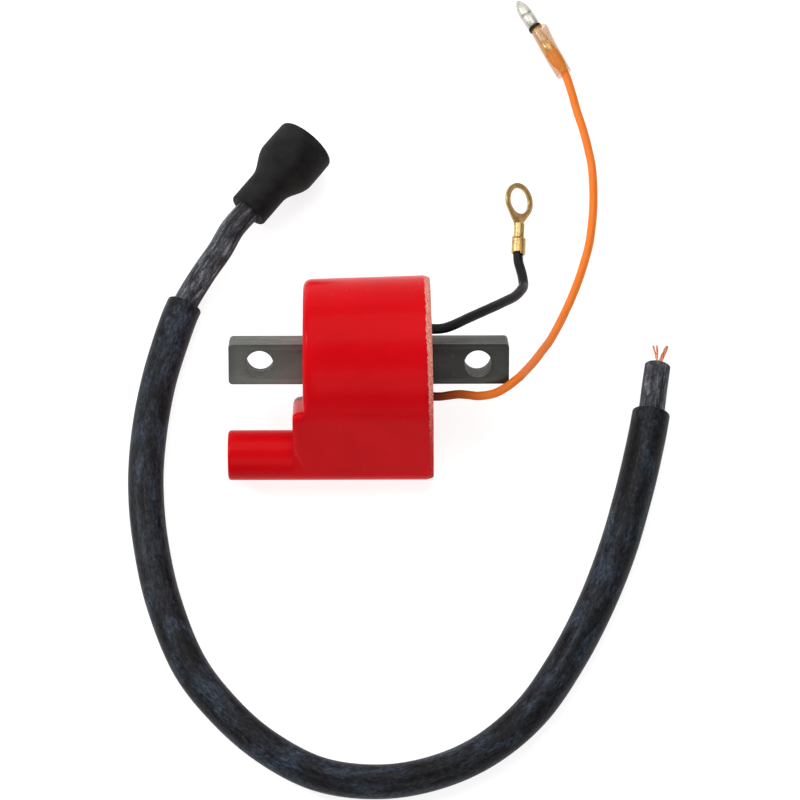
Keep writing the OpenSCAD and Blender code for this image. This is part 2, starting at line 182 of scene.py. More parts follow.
class Skin:
    """Collects rings of points, in millimetres, and faces between them with the current material."""

    def __init__(self):
        self.bm = bmesh.new()
        self.straight = self.bm.verts.layers.float_vector.new("straight")
        self.material = 0

    def ring(self, points, straight=None):
        verts = [self.bm.verts.new(p * MM) for p in points]
        if straight:
            for v, s in zip(verts, straight):
                v[self.straight] = s
        return verts

    def face(self, verts):
        self.bm.faces.new(verts).material_index = self.material

    def bridge(self, a, b):
        n = len(a)
        for k in range(n):
            j = (k + 1) % n
            self.face((a[k], a[j], b[j], b[k]))

    def loft(self, rings, closed=False):
        """Faces from ring to ring, and from the last back to the first if closed."""
        for a, b in zip(rings, rings[1:]):
            self.bridge(a, b)
        if closed:
            self.bridge(rings[-1], rings[0])

    def piece(self, name, materials, body, nodes=(), smooth=35, merge=True):
        """The finished piece: faces turned outwards, shaded smooth up to an angle, riding on its body."""
        bm = self.bm
        if merge:
            bmesh.ops.remove_doubles(bm, verts=bm.verts, dist=1e-7)
        bmesh.ops.recalc_face_normals(bm, faces=bm.faces)
        mesh = bpy.data.meshes.new(name)
        bm.to_mesh(mesh)
        bm.free()
        mesh.polygons.foreach_set("use_smooth", [True] * len(mesh.polygons))
        mesh.set_sharp_from_angle(angle=radians(smooth))
        for m in materials if isinstance(materials, (list, tuple)) else [materials]:
            mesh.materials.append(m)
        obj = add_object(name, mesh)
        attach(obj, body)
        if nodes:
            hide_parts(*nodes)
        return obj


def circle(n, r):
    return [(r * cos(2 * pi * k / n), r * sin(2 * pi * k / n)) for k in range(n)]


def heading(angle):
    return Vector((cos(angle), sin(angle)))


def quarter(steps):
    """A quarter turn in steps, as (1 - cosine, 1 - sine)."""
    turns = [radians(90 * k / steps) for k in range(steps + 1)]
    return [(1 - cos(a), 1 - sin(a)) for a in turns]


def ease(t):
    return t * t * (3 - 2 * t)


def sweep(skin, path, radius, sides):
    """Round rod along a path: radius(s, angle) in millimetres. Gives its rings."""
    rings = []
    for p, s, (side, up) in zip(path, lengths(path), frames(path)):
        pts, straight = [], []
        for k in range(sides):
            a = 2 * pi * k / sides
            r = radius(s, a)
            pts.append(p + r * (cos(a) * side + sin(a) * up))
            straight.append(Vector((r * cos(a), r * sin(a), s)))
        rings.append(skin.ring(pts, straight))
    skin.loft(rings)
    return rings


def rod(skin, path, radius, sides):
    """A swept rod with both ends closed."""
    rings = sweep(skin, path, radius, sides)
    skin.face(rings[0])
    skin.face(rings[-1])


def lathe(skin, matrix, profile, sides, closed=False):
    """Turns a profile of (distance along, radius) about the frame's Y axis. Radius 0 closes the end."""
    rings = [skin.ring([matrix @ Vector((u, y, v)) for u, v in (circle(sides, r) if r else [(0, 0)])])
             for y, r in profile]
    for a, b in zip(rings, rings[1:]):
        if len(a) == len(b):
            skin.bridge(a, b)
            continue
        tip, ring = (a[0], b) if len(a) == 1 else (b[0], a)
        for k in range(sides):
            skin.face((tip, ring[k], ring[(k + 1) % sides]))
    if closed:
        skin.bridge(rings[-1], rings[0])


def rounded(profile, radii, steps=5):
    """A profile with its corners rounded: radii maps a corner's index to its radius."""
    out = []
    for i, p in enumerate(profile):
        p = Vector(p)
        r = radii.get(i, 0)
        if not r:
            out.append(tuple(p))
            continue
        a, b = Vector(profile[i - 1]), Vector(profile[(i + 1) % len(profile)])
        u, v = (a - p).normalized(), (b - p).normalized()
        half = acos(max(-1, min(1, u.dot(v)))) / 2
        reach = min(r / tan(half), 0.49 * (a - p).length, 0.49 * (b - p).length)
        start, end = p + u * reach, p + v * reach
        for k in range(steps + 1):
            t = k / steps
            out.append(tuple((1 - t) ** 2 * start + 2 * t * (1 - t) * p + t * t * end))
    return out


# -------- material helpers
class Look:
    """A procedural material under construction."""

    def __init__(self, name, color, roughness, metallic=0.0, specular=0.5, alpha=1.0):
        self.mat = bpy.data.materials.new(name)
        self.mat.use_nodes = True
        self.tree = self.mat.node_tree
        self.tree.nodes.clear()
        out = self.add("ShaderNodeOutputMaterial")
        self.bsdf = self.add("ShaderNodeBsdfPrincipled")
        self.link(self.bsdf.outputs[0], out.inputs["Surface"])
        for socket, value in (("Base Color", (*color, 1)), ("Roughness", roughness), ("Metallic", metallic),
                              ("Specular IOR Level", specular), ("Alpha", alpha)):
            self.put(socket, value)
        self.mat.diffuse_color = (*color, 1)
        self.height = None

    def add(self, kind, **values):
        node = self.tree.nodes.new(kind)
        for k, v in values.items():
            setattr(node, k, v)
        return node

    def link(self, a, b):
        self.tree.links.new(a, b)

    def put(self, name, value):
        socket = self.bsdf.inputs[name]
        if isinstance(value, bpy.types.NodeSocket):
            self.link(value, socket)
        else:
            socket.default_value = value

    def tint(self, value):
        self.put("Base Color", value)

    def place(self, scale=(1, 1, 1), attribute=None):
        """Object coordinates in millimetres, or a swept piece's straightened ones, stretched by scale."""
        if attribute:
            source = self.add("ShaderNodeAttribute", attribute_name=attribute).outputs["Vector"]
        else:
            source = self.add("ShaderNodeTexCoord").outputs["Object"]
        unit = 1 if attribute else 1000
        node = self.add("ShaderNodeVectorMath", operation="MULTIPLY")
        self.link(source, node.inputs[0])
        node.inputs[1].default_value = tuple(unit * v for v in scale)
        return node.outputs[0]

    def noise(self, vector, scale, detail=3.0, rough=0.55, distortion=0.0):
        node = self.add("ShaderNodeTexNoise")
        self.link(vector, node.inputs["Vector"])
        for k, v in (("Scale", scale), ("Detail", detail), ("Roughness", rough), ("Distortion", distortion)):
            node.inputs[k].default_value = v
        return node.outputs["Fac"]

    def streaks(self, across, along, *settings):
        """Noise in the straightened coordinates of a swept piece, with a scale across and one along it."""
        return self.noise(self.place((across, across, along), "straight"), *settings)

    def ramp(self, fac, *stops):
        """Colours along a factor: (position, colour) pairs, a plain number being a grey."""
        node = self.add("ShaderNodeValToRGB")
        self.link(fac, node.inputs[0])
        while len(node.color_ramp.elements) < len(stops):
            node.color_ramp.elements.new(0.5)
        for element, (at, color) in zip(node.color_ramp.elements, stops):
            element.position = at
            element.color = (*color, 1) if hasattr(color, "__len__") else (color, color, color, 1)
        return node.outputs[0]

    def math(self, operation, a, b=0.0, clamp=False):
        node = self.add("ShaderNodeMath", operation=operation, use_clamp=clamp)
        for i, v in enumerate((a, b)):
            if isinstance(v, bpy.types.NodeSocket):
                self.link(v, node.inputs[i])
            else:
                node.inputs[i].default_value = v
        return node.outputs[0]

    def plus(self, a, b):
        return self.math("ADD", a, b)

    def minus(self, a, b, clamp=False):
        return self.math("SUBTRACT", a, b, clamp=clamp)

    def times(self, a, b, clamp=False):
        return self.math("MULTIPLY", a, b, clamp=clamp)

    def mix(self, fac, a, b, blend="MIX"):
        node = self.add("ShaderNodeMix", data_type="RGBA", blend_type=blend)
        for i, v in ((0, fac), (6, a), (7, b)):
            if isinstance(v, bpy.types.NodeSocket):
                self.link(v, node.inputs[i])
            else:
                node.inputs[i].default_value = v if i == 0 else (*v, 1)
        return node.outputs[2]

    def bump(self, height, depth):
        """Raises the surface by height times depth millimetres, on top of the bumps already there."""
        node = self.add("ShaderNodeBump")
        node.inputs["Distance"].default_value = depth * MM
        self.link(height, node.inputs["Height"])
        if self.height:
            self.link(self.height, node.inputs["Normal"])
        self.height = node.outputs[0]
        self.link(self.height, self.bsdf.inputs["Normal"])


def axis(look, vector, index):
    node = look.add("ShaderNodeSeparateXYZ")
    look.link(vector, node.inputs[0])
    return node.outputs[index]


def coil_axes(look, place):
    """The coil's own coordinates (x, up, front) from a material's object coordinates."""
    x, y, z = (axis(look, place, i) for i in range(3))
    c, s = cos(REST_TILT), sin(REST_TILT)
    dy, dz = look.minus(y, BAR_Y), look.minus(z, BAR_Z)
    return (x, look.plus(look.times(dy, c), look.times(dz, s)),
            look.minus(look.times(dz, c), look.times(dy, s)))


# -------- materials
SANDED_W, SANDED_SLOPE = 1.3, 0.013


def red_casing():
    """Glossy moulded red, with the strip along the open end sanded back to pale resin."""
    look = Look("red_casing", (0.56, 0.003, 0.008), 0.22, specular=0.04)
    place = look.place()
    cloud = look.noise(place, 0.06, 2)
    red = look.ramp(cloud, (0.3, (0.54, 0.002, 0.005)), (0.7, (0.6, 0.003, 0.007)))
    # the strip: x against the leaning end, with a ragged border
    x, up, _ = coil_axes(look, place)
    lean = look.times(look.plus(up, TOWER_DROP + TOWER_R), tan(END_LEAN))
    from_end = look.minus(CASE_X, look.plus(x, lean))
    width = look.plus(SANDED_W, look.times(look.plus(up, 10), SANDED_SLOPE))
    ragged = look.times(look.minus(look.noise(place, 0.9, 3), 0.5), 1.1)
    edge = look.minus(look.plus(width, ragged), from_end)
    strip = look.times(edge, 4.0, clamp=True)
    specks = look.noise(place, 2.6, 4, 0.75)
    sanded = look.ramp(specks, (0.3, (0.3, 0.03, 0.03)), (0.42, (0.72, 0.17, 0.13)),
                       (0.54, (0.85, 0.32, 0.24)), (0.66, (0.95, 0.68, 0.58)))
    # lower down the sanding only grazed the surface
    height = look.plus(look.times(up, 0.025), look.plus(look.noise(place, 1.7, 3), 0.1))
    grazed = look.ramp(height, (0.1, 0.12), (0.5, 1.0))
    look.tint(look.mix(look.times(strip, grazed), red, sanded))
    smudge = look.noise(place, 0.35, 4)
    gloss = look.ramp(smudge, (0.3, 0.2), (0.7, 0.28))
    look.put("Roughness", look.mix(strip, gloss, (0.75, 0.75, 0.75)))
    look.bump(look.times(look.noise(place, 3.2, 4, 0.7), strip), 0.35)
    return look.mat


def sanded_resin():
    """Epoxy face, ground flat: streaked and speckled."""
    look = Look("sanded_resin", (0.62, 0.2, 0.15), 0.7, specular=0.3)
    place = look.place()
    specks = look.noise(place, 2.4, 4, 0.7)
    streaks = look.noise(look.place((1, 0.35, 2.2)), 1.3, 3)
    color = look.ramp(specks, (0.3, (0.36, 0.07, 0.05)), (0.5, (0.58, 0.17, 0.12)),
                      (0.72, (0.74, 0.36, 0.28)))
    look.tint(look.mix(look.ramp(streaks, (0.35, 0.0), (0.8, 0.5)), color, (0.7, 0.3, 0.24)))
    look.bump(specks, 0.15)
    look.bump(streaks, 0.1)
    return look.mat


STAIN_X, STAIN_L = 17, 12  # where the bar's stain starts to fade, and the length over which it does


def core_steel():
    """Oiled steel sheet: olive-grey, brown left of the casing and dark right of it, with a little rust."""
    look = Look("core_steel", (0.09, 0.085, 0.075), 0.42, metallic=0.55, specular=0.4)
    place = look.place()
    x, up, front = coil_axes(look, place)
    from_middle = look.math("ABSOLUTE", x)
    left, right = look.math("LESS_THAN", x, 0.0), look.math("GREATER_THAN", x, 0.0)
    near = look.minus(1.0, look.math("DIVIDE", look.minus(from_middle, STAIN_X), STAIN_L), clamp=True)
    cloud = look.noise(look.place((0.6, 1, 1)), 0.12, 4, 0.6)
    base = look.mix(left, look.ramp(cloud, (0.3, (0.023, 0.0235, 0.021)), (0.7, (0.035, 0.036, 0.032))),
                    look.ramp(cloud, (0.3, (0.056, 0.058, 0.052)), (0.7, (0.082, 0.084, 0.075))))
    brown = look.mix(look.times(look.times(near, left), 0.75), base, (0.095, 0.072, 0.064))
    dark = look.mix(look.times(look.times(near, right), 0.7), brown, (0.012, 0.0115, 0.0105))
    # groups of sheets differ a little, which shows on the long edges and in the holes
    layers = look.add("ShaderNodeCombineXYZ")
    look.link(look.times(x, 0.02), layers.inputs[0])
    look.link(look.times(front, 0.95), layers.inputs[2])
    inside = look.math("LESS_THAN", front, BAR_W / 2 - 0.08)
    tone = look.ramp(look.noise(layers.outputs[0], 1.0, 4, 0.8),
                     (0.34, 0.3), (0.45, 2.4), (0.54, 1.3), (0.64, 4.0))
    layered = look.mix(inside, dark, look.mix(1.0, dark, tone, "MULTIPLY"))
    rust = look.ramp(look.noise(place, 0.5, 5, 0.7), (0.6, 0.0), (0.76, 0.45))
    # painted light: the bar's colour is raised up to one and a half times towards its lower side and lowered a
    # little along its top
    low = look.ramp(look.plus(look.math("DIVIDE", up, BAR_W), 0.5), (0.1, 1.5), (0.9, 0.95))
    worn = look.mix(1.0, look.mix(rust, layered, (0.13, 0.055, 0.04)), low, "MULTIPLY")
    # painted shade: the walls of the two holes are darkened as if in shadow, to a third of their colour at
    # most, with near-black lines between groups of sheets
    along = look.minus(from_middle, HOLE_SPACING / 2)
    reach = look.math("SQRT", look.plus(look.times(along, along), look.times(up, up)))
    hole = look.times(look.math("LESS_THAN", reach, HOLE_R + 0.15), inside)
    sheets = look.ramp(look.math("FRACT", look.times(front, 0.8)),
                       (0.06, 0.02), (0.3, 0.32), (0.8, 0.2), (0.97, 0.02))
    look.tint(look.mix(1.0, worn, look.mix(hole, (1, 1, 1), sheets), "MULTIPLY"))
    scratch = look.noise(look.place((0.15, 2.5, 2.5)), 1.2, 4, 0.6)
    look.put("Roughness", look.ramp(scratch, (0.3, 0.36), (0.7, 0.52)))
    look.bump(scratch, 0.03)
    return look.mat


def wire_vinyl(name, dark, light, root_shade=None):
    """Extruded wire insulation, with a faint lengthwise sheen and, if asked, a root darkened with painted shade
    where it leaves the casing.
    """
    look = Look(name, light, 0.42, specular=0.12)
    place = look.place(attribute="straight")
    cloud = look.streaks(1, 0.15, 0.9, 3)
    color = look.ramp(cloud, (0.3, dark), (0.7, light))
    if root_shade:
        # painted shade: near its root the wire's colour is darkened almost to black, fading out over its first
        # 18 mm
        s = axis(look, place, 2)
        fade = look.ramp(look.math("DIVIDE", s, 24.0), (0.06, 1.0), (0.3, 0.75), (0.75, 0.0))
        color = look.mix(fade, color, root_shade)
    look.tint(color)
    look.put("Roughness", look.ramp(look.noise(place, 0.6, 2), (0.3, 0.36), (0.7, 0.5)))
    look.bump(look.streaks(2.2, 0.12, 1.0, 2), 0.03)
    look.bump(look.noise(place, 5.0, 2), 0.01)
    return look.mat


def lead_rubber():
    """Old extruded rubber: dark, with chalky blue-grey bloom that is rubbed off in streaks."""
    look = Look("lead_rubber", (0.04, 0.042, 0.048), 0.6, specular=0.12)
    bloom = look.streaks(1, 0.35, 0.75, 5, 0.68, 0.4)
    grain = look.streaks(1, 0.7, 3.2, 3, 0.7)
    worn = look.plus(look.times(bloom, 0.72), look.times(grain, 0.28))
    color = look.ramp(worn, (0.4, (0.014, 0.0145, 0.017)), (0.48, (0.045, 0.047, 0.055)),
                      (0.56, (0.11, 0.118, 0.135)), (0.64, (0.22, 0.23, 0.25)))
    line = look.streaks(1.6, 0.02, 0.8, 2)
    color = look.mix(look.ramp(line, (0.38, 0.85), (0.5, 0.0)), color, (0.016, 0.015, 0.017))
    look.tint(color)
    look.put("Roughness", look.ramp(worn, (0.4, 0.42), (0.62, 0.75)))
    look.bump(line, 0.12)
    look.bump(grain, 0.05)
    return look.mat


def sleeve_rubber():
    """Smooth outer sleeve, with slate-coloured clouds and long soft streaks of painted sheen."""
    look = Look("sleeve_rubber", (0.015, 0.016, 0.02), 0.5, specular=0.1)
    cloud = look.streaks(0.6, 0.22, 0.35, 4, 0.6, 0.6)
    sheen_streak = look.streaks(1.5, 0.035, 0.5, 4, 0.6)
    color = look.ramp(cloud, (0.36, (0.007, 0.007, 0.0078)), (0.5, (0.013, 0.0142, 0.0185)),
                      (0.66, (0.028, 0.038, 0.055)))
    # painted sheen: long lighter grey streaks along the sleeve
    color = look.mix(look.ramp(sheen_streak, (0.52, 0.0), (0.72, 0.5)), color, (0.034, 0.033, 0.033))
    rub = look.streaks(1, 0.3, 1.0, 4, 0.65)
    mottle = look.ramp(look.streaks(1, 0.45, 1.5, 5, 0.75),
                       (0.36, 0.25), (0.47, 0.8), (0.56, 1.3), (0.7, 2.6))
    look.tint(look.mix(1.0, color, mottle, "MULTIPLY"))
    look.put("Roughness", look.ramp(rub, (0.3, 0.34), (0.7, 0.55)))
    look.bump(sheen_streak, 0.1)
    look.bump(rub, 0.03)
    return look.mat


def boot_rubber():
    """Matte moulded rubber with a fine grain and faint scuffs."""
    look = Look("boot_rubber", (0.01, 0.01, 0.01), 0.62, specular=0.1)
    place = look.place()
    cloud = look.noise(place, 0.16, 4, 0.6)
    color = look.ramp(cloud, (0.35, (0.006, 0.0055, 0.006)), (0.7, (0.018, 0.018, 0.018)))
    scuff = look.ramp(look.noise(place, 0.9, 5, 0.75), (0.6, 0.0), (0.8, 0.35))
    look.tint(look.mix(scuff, color, (0.03, 0.029, 0.028)))
    look.put("Roughness", look.ramp(cloud, (0.3, 0.55), (0.7, 0.7)))
    look.bump(look.noise(place, 4.0, 3, 0.6), 0.03)
    return look.mat


def sheet_metal(name, color, tarnish, rough, metallic=1.0):
    """Stamped or drawn metal: lightly tarnished in clouds."""
    look = Look(name, color, rough, metallic=metallic)
    place = look.place()
    cloud = look.noise(place, 0.5, 4, 0.6)
    look.tint(look.ramp(cloud, (0.3, tarnish), (0.6, color)))
    look.put("Roughness", look.ramp(look.noise(place, 1.6, 4), (0.3, rough - 0.08), (0.7, rough + 0.12)))
    look.bump(look.noise(place, 2.8, 3), 0.03)
    return look.mat


def clear_vinyl():
    """Soft translucent sleeve, peach-coloured over what is inside it."""
    look = Look("clear_vinyl", (0.66, 0.28, 0.04), 0.25, specular=0.3, alpha=0.28)
    place = look.place()
    cloud = look.noise(place, 0.5, 3)
    look.tint(look.ramp(cloud, (0.3, (0.62, 0.25, 0.03)), (0.7, (0.7, 0.31, 0.05))))
    look.put("Alpha", look.ramp(cloud, (0.3, 0.24), (0.7, 0.32)))
    look.bump(look.noise(place, 0.7, 2), 0.03)
    return look.mat


def plain_fibre(name, low, high, rough, scale=(1, 1, 1), metallic=0.0):
    """Hidden inner parts: wound wire, paper wrap, bobbin plastic."""
    look = Look(name, high, rough, metallic=metallic)
    place = look.place(scale)
    grain = look.noise(place, 1.2, 3)
    look.tint(look.ramp(grain, (0.3, low), (0.7, high)))
    look.bump(grain, 0.05)
    return look.mat


# -------- casing
FILLET, RIM_FILLET = 2.2, 0.9
DRAFT = 0.021  # growth of the large radius per millimetre towards the open end
CORNER_R = 2.6  # in the shoulder's outline, where it meets the casing's side
RAGGED_DEPTH, EVEN_X = 2.4, 13.0  # depth of the sanded strip, and where the rings stop leaning
SANDED_EDGE = ((0.12, 0.7), (0.4, 0.5), (0.8, 0.32), (1.2, 0.18), (1.6, 0.07), (2.0, 0.0), (2.4, 0.0))
SHOULDER_SOFT, SHOULDER_BLEND, CREASE_PULL = 1.9, 0.5, 3.2
TOWER_AXIS = Vector((-TOWER_DROP, 0))


def section_distance(p, grow=0.0):
    """Distance from (up, front) to the casing's section, negative inside. grow widens the large circle."""
    c, s = cos(REST_TILT), sin(REST_TILT)
    centre = Vector((grow * s, grow * c))
    big, small = CASE_R + grow, TOWER_R
    along = centre - TOWER_AXIS
    reach = along.length
    u = along / reach
    q = p - TOWER_AXIS
    x, y = q.dot(u), abs(q.cross(u))
    lean = (big - small) / reach
    rise = sqrt(1 - lean * lean)
    k = x * rise + y * lean
    if k < 0:
        return hypot(x, y) - small
    if k > reach * rise:
        return hypot(x - reach, y) - big
    return y * rise - x * lean - small


def casing_angles():
    """Directions from the tower's axis to points spread evenly over the section's outline."""
    tangent = pi / 2 + REST_TILT
    left = pi - tangent
    half = [heading(tangent * k / 52) * CASE_R for k in range(53)]
    low = TOWER_AXIS + heading(tangent) * TOWER_R
    half += [half[-1].lerp(low, k / 12) for k in range(1, 13)]
    half += [TOWER_AXIS + heading(tangent + left * k / 12) * TOWER_R for k in range(1, 13)]
    angles = [atan2((p - TOWER_AXIS).y, (p - TOWER_AXIS).x) for p in half]
    return angles + [-a for a in reversed(angles[1:-1])]


def farthest(angle, inside):
    """How far from the tower's axis, in one direction, inside(distance, point) still holds."""
    d = heading(angle)
    low, high = 0.0, 60.0
    for _ in range(34):
        mid = (low + high) / 2
        if inside(mid, TOWER_AXIS + d * mid):
            low = mid
        else:
            high = mid
    return (low + high) / 2


def outline_reach(angle, inset, grow):
    """The outline moved inwards by inset, as a distance from the tower's axis."""
    return farthest(angle, lambda r, p: section_distance(p, grow) < -inset)


def shoulder_reach(angle, grow):
    """The shoulder's outline: round behind, squared off in front, its corners rounded."""
    squared = 0 < angle < pi / 2

    def inside(r, p):
        cut = (r * heading(angle).x if squared else r) - SHOULDER_R
        side = section_distance(p, grow)
        return hypot(max(0.0, cut + CORNER_R), max(0.0, side + CORNER_R)) < CORNER_R

    return farthest(angle, inside)


def make_casing(red):
    skin = Skin()
    angles = casing_angles()

    def ring(x, reach):
        """One ring: x is a number or a function, and reach, from the tower's axis, a number or a list."""
        pts = []
        for k, a in enumerate(angles):
            r = reach[k] if isinstance(reach, list) else reach
            up, front = TOWER_AXIS.x + r * cos(a), r * sin(a)
            pts.append(from_coil(x(k, up) if callable(x) else x, up, front))
        return skin.ring(pts)

    def body(x_of, inset, at):
        return ring(x_of, [outline_reach(a, inset, DRAFT * at) for a in angles])

    def from_right(depth, rough=0.0):
        return lambda k, up: end_x(up) - depth + rough * noise.noise(Vector((k * 0.9, depth * 3.0, 1.7)))

    def leaning(t):
        """From the lower border of the sanded strip, t = 0, to the first upright ring, t = 1."""
        return lambda k, up: (end_x(up) - RAGGED_DEPTH) * (1 - t) + EVEN_X * t

    rings = [body(from_right(0), WALL, CASE_X), body(from_right(0, 0.05), 1.0, CASE_X)]
    for depth, inset in SANDED_EDGE:
        rings.append(body(from_right(depth, 0.08 if depth < 1.8 else 0), inset, CASE_X - depth))
    strip_x = CASE_X - RAGGED_DEPTH
    rings += [body(leaning(t), 0.0, strip_x + t * (EVEN_X - strip_x)) for t in (0.5, 1.0)]
    for i in range(1, 13):
        x = EVEN_X + (-CASE_X + FILLET + 0.3 - EVEN_X) * i / 12
        rings.append(body(x, 0.0, x))
    # left end: the fillet shrinks to nothing where the outline meets the shoulder
    grow = DRAFT * -CASE_X
    outline = [outline_reach(a, 0.0, grow) for a in angles]
    shoulder = [min(shoulder_reach(a, grow), r) for a, r in zip(angles, outline)]
    gap = [r - q for r, q in zip(outline, shoulder)]
    fillet = [FILLET * min(1.0, g / 6.0) ** 0.7 if g > 0.05 else 0.0 for g in gap]
    for inward, back in quarter(8):
        reach = [outline_reach(a, f * inward, grow) if f else r for a, f, r in zip(angles, fillet, outline)]
        rings.append(ring(lambda k, up: -CASE_X + fillet[k] * back, reach))
    reach = [max(q, outline_reach(a, f + 0.25, grow)) if f else r
             for a, f, r, q in zip(angles, fillet, outline, shoulder)]
    rings.append(ring(-CASE_X, reach))
    skin.loft(rings)
    # shoulder: out to its own rounded edge
    soft = [SHOULDER_SOFT * min(1.0, max(0.0, (r - TOWER_R) / 5.0)) for r in shoulder]
    pull = [CREASE_PULL * max(0.0, 1 - (r - TOWER_R) / 6.5) ** 2 for r in shoulder]
    pull = [min(p, -CASE_X - SHOULDER_X - 0.05) for p in pull]
    blend = [min(SHOULDER_BLEND, 0.5 * max(0.0, r - q)) for r, q in zip(reach, shoulder)]
    edge = [ring(-CASE_X, [q + b for q, b in zip(shoulder, blend)]),
            ring(lambda k, up: -CASE_X - 0.3 * blend[k], [q + 0.3 * b for q, b in zip(shoulder, blend)])]
    for inward, back in quarter(8):
        edge.append(ring(lambda k, up: min(-CASE_X - 0.02, SHOULDER_X + pull[k] + soft[k] * back),
                         [r - f * inward for r, f in zip(shoulder, soft)]))
    edge.append(ring(SHOULDER_X, [max(TOWER_R, r - f - 0.2) for r, f in zip(shoulder, soft)]))
    skin.loft(edge)
    # tower: side, rim, socket, the contact's bore and the way in to the windings
    side_l = TOWER_X + RIM_FILLET + 0.3 - SHOULDER_X
    profile = [(SHOULDER_X, TOWER_R), (SHOULDER_X - 0.3, TOWER_R)]
    profile += [(SHOULDER_X + side_l * t, TOWER_R) for t in (0.15, 0.35, 0.55, 0.75, 0.95)]
    profile += [(TOWER_X + RIM_FILLET * back, TOWER_R - RIM_FILLET * inward) for inward, back in quarter(5)]
    profile += [(TOWER_X, SOCKET_R + 0.6), (TOWER_X + 0.1, SOCKET_R + 0.25), (TOWER_X + 0.5, SOCKET_R),
                (SOCKET_X, SOCKET_R), (SOCKET_X, CONTACT_R), (SOCKET_X + CONTACT_DEPTH, CONTACT_R),
                (SOCKET_X + CONTACT_DEPTH, LEADOUT_R), (CAVITY_X, LEADOUT_R)]
    skin.loft([ring(x, r) for x, r in profile])
    # cavity, from its floor to the sanded rim, and the bar's square hole through that floor
    floor = body(CAVITY_X, WALL, CAVITY_X)
    skin.loft([floor, body(0.0, WALL, 0.0), rings[0]])
    half = BAR_W / 2 + 0.02
    corners = [(u * half, f * half) for u, f in ((1, 1), (1, -1), (-1, -1), (-1, 1))]
    skin.loft([skin.ring([from_coil(x, u, f) for u, f in corners]) for x in (-CASE_X, CAVITY_X)])
    bm = skin.bm
    bmesh.ops.remove_doubles(bm, verts=bm.verts, dist=1e-7)
    # the flat faces, between the open edges that lie in their planes
    for x in (-CASE_X, SHOULDER_X, CAVITY_X):
        edges = [e for e in bm.edges
                 if len(e.link_faces) < 2 and all(abs(v.co.x - x * MM) < 2e-7 for v in e.verts)]
        bmesh.ops.triangle_fill(bm, edges=edges, use_beauty=True)
    return skin.piece("casing", red, "coil", ["housing"], smooth=40)


# -------- core bar
SHEETS = 22


def sheet_loops(half_l, half_w, corner, hole_r, holes):
    """A punched sheet's outline and holes, each as (point, outward normal) pairs."""
    outline = []
    for cx, cy, start in ((1, 1, 0), (-1, 1, 90), (-1, -1, 180), (1, -1, 270)):
        for k in range(7):
            n = heading(radians(start + 15 * k))
            outline.append((Vector((cx * (half_l - corner), cy * (half_w - corner))) + n * corner, n))
    loops = [outline]
    for hx in holes:
        loops.append([(Vector((hx, 0)) + Vector(p) * hole_r, -Vector(p)) for p in reversed(circle(56, 1.0))])
    return loops


def plate(skin, loops, place, low, high, edge):
    """A flat plate with rounded arrises between two heights: place(u, v, height) gives each point."""
    steps = ((low, edge), (low + edge * 0.3, edge * 0.3), (low + edge, 0), (high - edge, 0),
             (high - edge * 0.3, edge * 0.3), (high, edge))
    ends = ([], [])
    for loop in loops:
        rings = [skin.ring([place(p.x - n.x * inset, p.y - n.y * inset, h) for p, n in loop])
                 for h, inset in steps]
        skin.loft(rings)
        ends[0].append(rings[0])
        ends[1].append(rings[-1])
    for group in ends:
        edges = [skin.bm.edges.get((r[k], r[(k + 1) % len(r)])) for r in group for k in range(len(r))]
        bmesh.ops.triangle_fill(skin.bm, edges=edges, use_beauty=True)


def make_bar(steel):
    skin = Skin()
    draw = random.Random(7)
    pitch = BAR_W / SHEETS
    loops = sheet_loops(BAR_L / 2, BAR_W / 2 - 0.03, 1.1, HOLE_R, (-HOLE_SPACING / 2, HOLE_SPACING / 2))
    for i in range(SHEETS):
        # each sheet but the outer two is shifted a little
        du = dv = 0.0
        if 0 < i < SHEETS - 1:
            du, dv = draw.uniform(-0.06, 0.06), draw.uniform(-0.035, 0.035)
        low = -BAR_W / 2 + i * pitch + 0.01
        plate(skin, loops, lambda u, v, h: from_coil(u + du, v + dv, h), low, low + pitch - 0.02, 0.06)
    return skin.piece("core_bar", steel, "coil", ["core_laminations"], smooth=30, merge=False)


# -------- wires, lead and sleeve
WOBBLE = 0.03  # the wires' unevenness, as a part of their radius


def make_wire(name, route, size, material, node, flare=None):
    """Insulated wire; flare is (length, radius) of the insulation spread out at its far end."""
    path = [p + UP * max(0.0, size * (1 + WOBBLE) - p.z) for p in catmull(route)]
    total = lengths(path)[-1]
    skin = Skin()

    def radius(s, a):
        r = size * (1 + WOBBLE * noise.noise(Vector((s * 0.35, cos(a) * 0.4, sin(a) * 0.4))))
        if flare and s > total - flare[0]:
            t = min(1.0, (s - total + flare[0]) / (flare[0] * 0.6))
            r += (flare[1] - size) * ease(t)
        return r

    rod(skin, path, radius, 24)
    return skin.piece(name, material, "coil", [node], smooth=50), path


BARE_L, BARE_SWELL = 25.0, 0.12  # the lead is a little thicker at its bare end


def make_lead(rubber):
    path = catmull(LEAD_ROUTE)
    total = lengths(path)[-1]
    skin = Skin()

    def radius(s, a):
        ridge = 0.05 * noise.noise(Vector((cos(a) * 2.2, sin(a) * 2.2, s * 0.015)))
        lump = 0.06 * noise.noise(Vector((s * 0.09, cos(a) * 0.5, sin(a) * 0.5)))
        swell = BARE_SWELL * max(0.0, min(1.0, (s - total + BARE_L) / 10))
        return LEAD_R * (1 + ridge + lump * 0.3) + swell

    rings = sweep(skin, path, radius, 40)
    t = (path[-1] - path[-2]).normalized()
    edge = [v.co / MM - path[-1] for v in rings[-1]]
    # bare end: a rounded arris and a slightly sunk face round the strands
    for scale, out in ((0.965, 0.16), (0.88, 0.26), (0.6, 0.28), (0.28, 0.2), (0.2, -0.15)):
        rings.append(skin.ring([path[-1] + t * out + p * scale for p in edge],
                               [Vector((*p, total + out)) for p in circle(len(edge), LEAD_R * scale)]))
        skin.bridge(rings[-2], rings[-1])
    skin.face(rings[0])
    skin.face(rings[-1])
    return skin.piece("ht_lead_cord", rubber, "coil", ["ht_lead"], smooth=50), path


